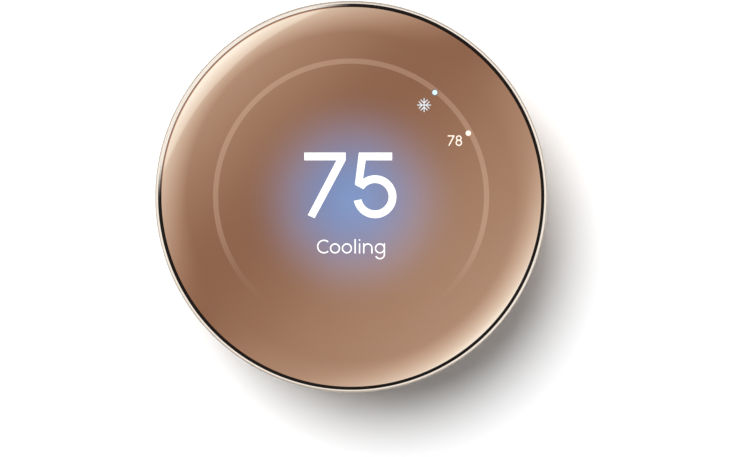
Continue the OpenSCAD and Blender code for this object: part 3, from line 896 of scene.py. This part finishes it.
class THERMOSTAT_OT_display(bpy.types.Operator):
    """Lays the lit figures, status word, snowflake and dots on the lens"""

    bl_idname = "thermostat.display"
    bl_label = "Display figures"

    def execute(self, context):
        look = context.scene.display_look
        lens = bpy.data.objects["lens"]
        depth = depth_of("front_lens")[1]
        bright = glowing("display_white", (1.0, 1.0, 1.0), 1.04)
        cream = glowing("display_cream", (1.0, 0.87, 0.75), 0.95)
        cool = glowing("display_cool", (0.80, 0.92, 1.0), 0.88)
        # places and stroke widths are in millimetres across the face, from its axis
        tall, stroke, line = look.figure_height / MM, 1.65, -4.60
        big = moved(figure(7, stroke / tall), -9.94, line, tall)
        big += moved(figure(5, stroke / tall), 0.53, line, tall)
        letters, width = word(look.word_height / MM, 0.27)
        letters = moved(letters, -width / 2, -12.11)
        small, stroke, line = look.small_height / MM, 0.25, 10.79
        pair = moved(figure(7, stroke / small), 20.59, line, small)
        pair += moved(figure(8, stroke / small), 22.27, line, small)
        flake = moved(snowflake(0.115), 15.56, 19.50, 1.49)
        room_dot, set_dot = (17.85, 22.20), (24.99, 13.51)
        groups = [
            ("temperature_figures", big, bright), ("status_word", letters, bright),
            ("set_figures", pair, cream), ("snowflake", flake, cool),
            ("dot_temperature", [disc(*room_dot, 0.55)], glowing("dot_light", (0.66, 0.84, 0.94), 0.95)),
            ("dot_rim_temperature", [hoop(*room_dot, 0.65, 0.14)], ink("dot_outline", (0.09, 0.085, 0.08))),
            ("dot_set", [disc(*set_dot, 0.58)], cream),
        ]
        for name, strokes, material in groups:
            piece = laid(name, strokes, depth, lens)
            settle(piece, "head", "lens_mirror", material)
        return {"FINISHED"}


class THERMOSTAT_OT_rear_cover(bpy.types.Operator):
    """Finishes the back of the head: cover, plug and screws"""

    bl_idname = "thermostat.rear_cover"
    bl_label = "Rear cover"

    def execute(self, context):
        cover = moulded("cover_dark_grey", context.scene.finish_colours.cover, 0.5, 0.00024, 0.000007)
        piece = softened("rear_cover", 0.00018)
        settle(piece, "head", "grey_plastic", cover, "rear_cover")
        piece = softened("plug_housing", 0.00008)
        black = moulded("connector_black", (0.022, 0.022, 0.024), 0.42)
        settle(piece, "head", "dark_plastic", black, "plug_housing")
        zinc = plated("zinc_screws", (0.62, 0.62, 0.63), 0.3, (1, 14, 1))
        for node in ("rear_cover_screws", "board_screws"):
            piece = softened(node, 0.00008)
            settle(piece, "head", "screw_steel", zinc, node)
        return {"FINISHED"}


class THERMOSTAT_OT_cells(bpy.types.Operator):
    """Turns the two battery cells, with their cans, sleeves, bands and marks"""

    bl_idname = "thermostat.cells"
    bl_label = "Battery cells"

    def execute(self, context):
        can = plated("cell_can", (0.66, 0.66, 0.67), 0.22, (10, 1, 1))
        grey = sleeve("cell_sleeve_grey", (0.50, 0.51, 0.52))
        band = sleeve("cell_band_teal", (0.018, 0.115, 0.125))
        mark = ink("cell_marks", (0.06, 0.06, 0.065))
        for name, side in (("upper", 1), ("lower", -1)):
            node = "battery_cell_" + name
            low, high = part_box(node)
            y, z = (low.y + high.y) / 2, (low.z + high.z) / 2
            r = (high.z - low.z) / 2
            length = high.x - low.x
            tip = high.x if side > 0 else low.x
            at, axis = (tip, y, z), (-side, 0, 0)
            body = r - 0.00012
            profile = [
                (0, 0), (0.0015, 0), (0.0018, 0.00012), (0.0019, 0.0003), (0.0019, 0.0008), (0.0021, 0.00095),
                (0.0032, 0.00095), (0.0035, 0.00082), (body - 0.0005, 0.00082), (body - 0.0001, 0.00105),
                (body, 0.0014), (body, 0.0020), (body - 0.00035, 0.0023), (body - 0.00035, 0.0026),
                (body, 0.0029), (body, length - 0.0006), (body - 0.0002, length - 0.0002),
                (body - 0.0006, length - 0.00005), (0.0030, length - 0.00005), (0.0028, length),
                (0, length),
            ]
            piece = turned("cell_can_" + name, profile, at, axis, 72)
            smooth(piece, 40)
            settle(piece, "head", "cell_case", can, node)
            split = length * 0.30
            for part, start, end, material in (
                ("band", 0.0010, split, band), ("sleeve", split, length - 0.0004, grey)
            ):
                first, last = part == "band", part == "sleeve"
                profile = [(body - 0.0007 if first else body, start), (r - 0.0001 if first else r, start)]
                profile += [(r, start + 0.0004)] if first else []
                profile += [(r, end - 0.0003), (r - 0.0001, end)] if last else [(r, end)]
                profile += [(body - 0.0007, end), (body - 0.0007, end - 0.00004)] if last else []
                profile += [(body + 0.00001, end - 0.0003)] if last else [(body + 0.00001, end)]
                profile += [(body + 0.00001, start + 0.0004)] if first else [(body + 0.00001, start)]
                piece = turned(f"cell_{part}_{name}", profile, at, axis, 72, closed=True)
                smooth(piece, 40)
                settle(piece, "head", "cell_case", material)
            self.mark(name, side, (tip, -y + r, z), length, mark)
        return {"FINISHED"}

    def mark(self, name, side, at, length, material):
        """Plus and minus marks on the side of the cell that faces the wall."""
        x, z = at[0] / MM, at[2] / MM
        low = -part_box("battery_cell_" + name)[1].y
        half, inset = 1.3, 5.5
        plus, minus = x - side * inset, x - side * (length / MM - inset)
        strokes = [
            outline(run((plus - half, z), (plus + half, z)), 0.5),
            outline(run((plus, z - half), (plus, z + half)), 0.5),
            outline(run((minus, z - half), (minus, z + half)), 0.5),
        ]
        colours = {"plus": ink("cell_plus_" + name, (0.62, 0.62, 0.60)), "minus": material}
        for part, group in (("plus", strokes[:2]), ("minus", strokes[2:])):
            piece = laid(f"cell_{part}_{name}", group, low, bpy.data.objects["cell_can_" + name], 0.00002)
            settle(piece, "head", "cell_case", colours[part])


class THERMOSTAT_OT_inside(bpy.types.Operator):
    """Gives the parts inside the head their materials"""

    bl_idname = "thermostat.inside"
    bl_label = "Inside of the head"

    def execute(self, context):
        board = circuit_board("main_board_mask")
        flex = film_amber("flex_film")
        gold = plated("gold_flash", (0.86, 0.60, 0.24), 0.2, (1, 8, 1))
        nickel = plated("nickel_springs", (0.70, 0.69, 0.66), 0.24, (1, 1, 9))
        tin = plated("tinned_shield", (0.70, 0.70, 0.69), 0.3, (1, 1, 6), 0.0016)
        kept = {
            "lens_adhesive": foam("foam_tape"), "display_panel": display_glass("display_dark_glass"),
            "display_backlight": diffuser("diffuser_film"),
            "display_frame": moulded("display_frame_black", (0.045, 0.045, 0.047)),
            "mid_frame": plated("blasted_frame", (0.62, 0.63, 0.64), 0.5, (1, 1, 1), 0.0002, 0.92),
            "main_board": board, "board_chips": epoxy("chip_epoxy"),
            "board_connectors": moulded("connector_ivory", (0.60, 0.54, 0.42), 0.4),
            "processor_shield": tin, "radio_shield": tin,
            "motion_sensor": epoxy("sensor_body"), "light_sensor": epoxy("light_sensor_body"),
            "climate_sensor": moulded("sensor_white", (0.70, 0.70, 0.68), 0.4),
            "climate_cable": flex, "display_cable": flex, "touch_strip": flex, "touch_cable": flex,
            "wifi_antenna": flex, "plug_pins": gold, "battery_springs": nickel, "battery_plates": nickel,
        }
        for node, material in kept.items():
            coat(node, material)
        return {"FINISHED"}


# ------------------------------------------------------------------ base


class THERMOSTAT_OT_base(bpy.types.Operator):
    """Finishes the wall base: plate, board, socket, clips and screws"""

    bl_idname = "thermostat.base"
    bl_label = "Wall base"

    def execute(self, context):
        white = moulded("base_white", context.scene.finish_colours.base, 0.45, 0.0002, 0.000005)
        settle(softened("base_plate", 0), "base", "white_plastic", white, "base_plate")
        black = moulded("socket_black", (0.020, 0.020, 0.022), 0.4)
        settle(softened("base_socket", 0.00012), "base", "dark_plastic", black, "base_socket")
        steel = plated("clip_steel", (0.70, 0.70, 0.69), 0.26, (1, 8, 1))
        settle(softened("snap_clips", 0.00004, 60), "base", "spring_steel", steel, "snap_clips")
        zinc = plated("base_screw_zinc", (0.62, 0.62, 0.63), 0.3, (1, 14, 1))
        settle(softened("base_board_screws", 0.00006), "base", "screw_steel", zinc, "base_board_screws")
        coat("base_board", circuit_board("base_board_mask"))
        coat("socket_contacts", plated("socket_gold", (0.86, 0.60, 0.24), 0.2, (1, 8, 1)))
        return {"FINISHED"}


class THERMOSTAT_OT_terminals(bpy.types.Operator):
    """Finishes the two terminal blocks, their push tabs, clamps and numbers"""

    bl_idname = "thermostat.terminals"
    bl_label = "Terminals"

    def execute(self, context):
        block = moulded("block_white", (0.70, 0.71, 0.71), 0.4, 0.00018, 0.000004)
        light = moulded("tab_grey", (0.47, 0.48, 0.49), 0.38, 0.00018, 0.000004)
        brass = plated("clamp_brass", (0.80, 0.60, 0.30), 0.24, (8, 1, 1))
        black = ink("number_ink", (0.05, 0.05, 0.055))
        for side, sign in SIDES.items():
            node = "terminal_block_" + side
            top = depth_of(node)[1]
            piece = softened(node, 0.00015)
            settle(piece, "base", "white_plastic", block, node)
            coat("wire_clamps_" + side, brass)
            strokes = []
            for i in range(1, 6):
                low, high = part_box(f"tab_{side}_{i}")
                number = [i] if sign < 0 else [int(d) for d in str(i + 5)]
                middle, pitch, tall = sign * 18.6, 0.95, 1.3
                z = (low.z + high.z) / 2 / MM - tall / 2
                for k, digit in enumerate(number):
                    strokes += moved(figure(digit, 0.15), middle + pitch * (k - len(number) / 2), z, tall)
            piece = laid("terminal_numbers_" + side, strokes, top + 0.00001, None, 0.00002)
            settle(piece, "base", "white_plastic", black)
        for node in TABS:
            piece = softened(node, 0.0003, 40, 3)
            settle(piece, node, "tab_plastic", light, node)
        return {"FINISHED"}


class THERMOSTAT_OT_level(bpy.types.Operator):
    """Finishes the level vial and turns the two lines on it"""

    bl_idname = "thermostat.level"
    bl_label = "Level vial"

    def execute(self, context):
        coat("level_vial", clear("vial_acrylic", (0.88, 0.95, 0.93), 0.78, 0.05))
        coat("level_fluid", clear("vial_spirit", (0.52, 0.80, 0.06), 0.3, 0.1))
        coat("level_bubble", clear("vial_air", (0.92, 0.98, 0.86), 0.35, 0.04))
        low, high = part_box("level_vial")
        y, z, r = (low.y + high.y) / 2, (low.z + high.z) / 2, (high.y - low.y) / 2
        black = ink("vial_line_ink", (0.02, 0.02, 0.022))
        for name, x in (("left", -0.0026), ("right", 0.0026)):
            profile = [
                (r + 0.00001, -0.0002), (r + 0.00004, -0.00018), (r + 0.00005, 0), (r + 0.00004, 0.00018),
                (r + 0.00001, 0.0002),
            ]
            line = turned("vial_line_" + name, profile, (x, y, z), (1, 0, 0), 64, closed=True)
            smooth(line, 40)
            settle(line, "base", "vial_clear", black)
        return {"FINISHED"}


# ------------------------------------------------------------------ stage


# How bright the room is, as (lean, level): lean is a direction's part towards the lower right of the face, and
# less than 0 towards the upper left
LIGHT_ACROSS_FACE = [
    (-0.70, 1.55), (-0.62, 1.40), (-0.52, 1.15), (-0.44, 0.96), (-0.28, 0.66), (-0.20, 0.52), (-0.10, 0.42),
    (0.00, 0.465), (0.08, 0.54), (0.24, 0.65), (0.32, 0.74), (0.52, 1.15), (0.62, 1.50), (0.70, 1.60),
]
LEAN_MOST, LEVEL_MOST = 0.7, 2.0


def studio_light(scene):
    """World light: a soft room in front of the face, brighter towards its upper left and lower right, plain
    pale white behind the object, and a low even light on matt surfaces."""
    world = bpy.data.worlds.new("studio")
    scene.world = world
    world.use_nodes = True
    m = world
    x, y, z = axes(m, add(m, "TexCoord", out=0))
    half = math.sqrt(0.5)
    along = sums(m, "MULTIPLY", sums(m, "SUBTRACT", x, z), half)
    across = sums(m, "ABSOLUTE", sums(m, "MULTIPLY", sums(m, "ADD", x, z), half))
    places = [((lean / LEAN_MOST + 1) / 2, level / LEVEL_MOST) for lean, level in LIGHT_ACROSS_FACE]
    level = curve(m, spread(m, along, -LEAN_MOST, LEAN_MOST, 0, 1), places)
    level = sums(m, "MULTIPLY", level, LEVEL_MOST)
    edge = sums(m, "ADD", along, sums(m, "MULTIPLY", across, 0.16))
    level = sums(m, "ADD", level, spread(m, edge, -0.455, -0.425, 0.20, 0, True))
    off = from_axis(m, x, z)
    level = sums(m, "ADD", level, spread(m, off, 0.03, 0.13, -0.16, 0, True))
    # brighter light is cooler: green and blue rise faster than red about the level where all are the same
    grey = 0.46
    ratio = sums(m, "DIVIDE", level, grey)
    green = sums(m, "MULTIPLY", sums(m, "POWER", ratio, 1.46), grey)
    blue = sums(m, "MULTIPLY", sums(m, "POWER", ratio, 1.74), grey)
    front = add(m, "CombineColor", {0: level, 1: green, 2: blue})
    # dark flags stand round the face from 40 to 57 degrees off its axis, with a strip light at the upper left
    toward_strip = sums(m, "DIVIDE", sums(m, "MULTIPLY", along, -1.0), off)
    bright = spread(m, y, -0.712, -0.688, 0.7, 4.2)
    strip = sums(m, "ADD", sums(m, "MULTIPLY", spread(m, toward_strip, 0.71, 0.85, 0, 1, True), bright), 0.01)
    flags = add(m, "CombineColor", {
        0: strip, 1: sums(m, "MULTIPLY", strip, 0.9), 2: sums(m, "MULTIPLY", strip, 0.8)
    })
    flagged = mixed(m, spread(m, y, -0.775, -0.765, 0, 1, True), front, flags)
    room = mixed(m, spread(m, y, -0.555, -0.52, 0, 1, True), flagged, (1.1, 1.1, 1.1))
    path = m.node_tree.nodes.new("ShaderNodeLightPath")
    room = mixed(m, path.outputs["Is Diffuse Ray"], room, (0.15, 0.16, 0.17))
    room = mixed(m, path.outputs["Is Camera Ray"], room, (1.0, 1.0, 1.0))
    wire(m, m.node_tree.nodes["Background"], {"Color": room, "Strength": 1.0})


def curve(m, value, points):
    """Value read from a smooth curve through points."""
    n = m.node_tree.nodes.new("ShaderNodeFloatCurve")
    line = n.mapping.curves[0]
    for place in points[1:-1]:
        line.points.new(*place)
    line.points[0].location = points[0]
    line.points[-1].location = points[-1]
    n.mapping.update()
    wire(m, n, {"Value": value})
    return n.outputs[0]


def sun(name, direction, angle, strength):
    """Soft even light from that direction, which no gloss shows."""
    data = bpy.data.lights.new(name, "SUN")
    data.angle = math.radians(angle)
    data.energy = strength
    lamp = bpy.data.objects.new(name, data)
    bpy.context.scene.collection.objects.link(lamp)
    lamp.rotation_euler = Vector(direction).to_track_quat("Z", "Y").to_euler()
    lamp.visible_glossy = False


def wall_paint_and_painted_shade():
    """Pale paint, with painted shade near the object where gloss shows the wall. From behind, the wall isn't
    there, so that the back of the base can be seen.
    """
    m = finish("wall_paint_and_painted_shade", (0.9, 0.9, 0.9), 0.9, sockets={"Specular IOR Level": 0.0})
    fine = cloud(m, 0.0009, 3)
    shade(m, normal=relief(m, fine, 0.00001))
    x, _, z = axes(m, here(m))
    path = m.node_tree.nodes.new("ShaderNodeLightPath")
    # painted shade: where glossy rays meet the wall within 60 to 140 mm of the axis, its colour darkens to
    # grey, a painted darker reflection round the object
    shade_near_object = spread(m, from_axis(m, x, z), 0.06, 0.14, 1, 0, True)
    near = sums(m, "MULTIPLY", shade_near_object, path.outputs["Is Glossy Ray"])
    shade(m, base_color=mixed(m, near, (0.9, 0.9, 0.9), (0.42, 0.41, 0.40)))
    backs = add(m, "NewGeometry", out=6)
    gone = add(m, "BsdfTransparent")
    both = add(m, "MixShader", {0: backs, 1: m.node_tree.nodes["Principled BSDF"].outputs[0], 2: gone})
    wire(m, m.node_tree.nodes["Material Output"], {"Surface": both})
    return m


class THERMOSTAT_OT_stage(bpy.types.Operator):
    """Sets up the pale wall, the soft light and the camera"""

    bl_idname = "thermostat.stage"
    bl_label = "Wall, lights and camera"

    def execute(self, context):
        scene, look = context.scene, context.scene.stage_look
        studio_light(scene)
        sun("key_light", (-0.365, -1, 0.447), 44, 4.0)
        sun("rear_light", (0.5, 1, 0.6), 50, 2.0)
        sun("low_side_light", (0.8, -0.15, -0.4), 60, 0.3)
        deselect()
        bpy.ops.mesh.primitive_circle_add(
            vertices=64, radius=look.wall_radius, fill_type="TRIFAN", location=(0, 0.0003, 0),
            rotation=(math.pi / 2, 0, 0),
        )
        wall = bpy.context.active_object
        wall.name = wall.data.name = "wall"
        wall.data.materials.append(wall_paint_and_painted_shade())
        wall.visible_shadow = False
        rim = depth_of("bezel_ring")[0]
        lens = bpy.data.cameras.new("camera")
        lens.lens = look.focal_length
        lens.sensor_width = SENSOR
        away = look.view_width * look.focal_length / SENSOR
        camera = bpy.data.objects.new("camera", lens)
        camera.location = (look.view_right, -(rim + away), -look.view_down)
        camera.rotation_euler = (math.pi / 2, 0, 0)
        scene.collection.objects.link(camera)
        scene.camera = camera
        scene.view_settings.view_transform = "Standard"
        scene.view_settings.look = "None"
        return {"FINISHED"}


# ------------------------------------------------------------------ panel and run

STEPS = (
    THERMOSTAT_OT_lens, THERMOSTAT_OT_rim, THERMOSTAT_OT_shell, THERMOSTAT_OT_display,
    THERMOSTAT_OT_rear_cover, THERMOSTAT_OT_cells, THERMOSTAT_OT_inside, THERMOSTAT_OT_base,
    THERMOSTAT_OT_terminals, THERMOSTAT_OT_level, THERMOSTAT_OT_stage,
)


class THERMOSTAT_PT_panel(bpy.types.Panel):
    """Steps and settings of the round wall thermostat"""

    bl_idname = "THERMOSTAT_PT_panel"
    bl_label = "Round Wall Thermostat"
    bl_space_type = "VIEW_3D"
    bl_region_type = "UI"
    bl_category = "Thermostat"

    def draw(self, context):
        for kind in STEPS:
            self.layout.operator(kind.bl_idname)
        for name in SETTINGS:
            group = getattr(context.scene, name)
            box = self.layout.box()
            box.label(text=name.replace("_", " ").capitalize())
            for key in group.bl_rna.properties.keys():
                if key not in ("rna_type", "name"):
                    box.prop(group, key)


SETTINGS = {
    "face_sizes": FaceSizes, "display_look": DisplayLook,
    "finish_colours": FinishColours, "stage_look": StageLook,
}
CLASSES = (*SETTINGS.values(), *STEPS, THERMOSTAT_PT_panel)


def register():
    for kind in CLASSES:
        bpy.utils.register_class(kind)
    for name, kind in SETTINGS.items():
        setattr(bpy.types.Scene, name, bpy.props.PointerProperty(type=kind))


def unregister():
    for name in SETTINGS:
        delattr(bpy.types.Scene, name)
    for kind in reversed(CLASSES):
        bpy.utils.unregister_class(kind)


def main():
    register()
    for kind in STEPS:
        group, name = kind.bl_idname.split(".")
        getattr(getattr(bpy.ops, group), name)()
    bpy.context.view_layer.update()


if __name__ == "__main__":
    main()
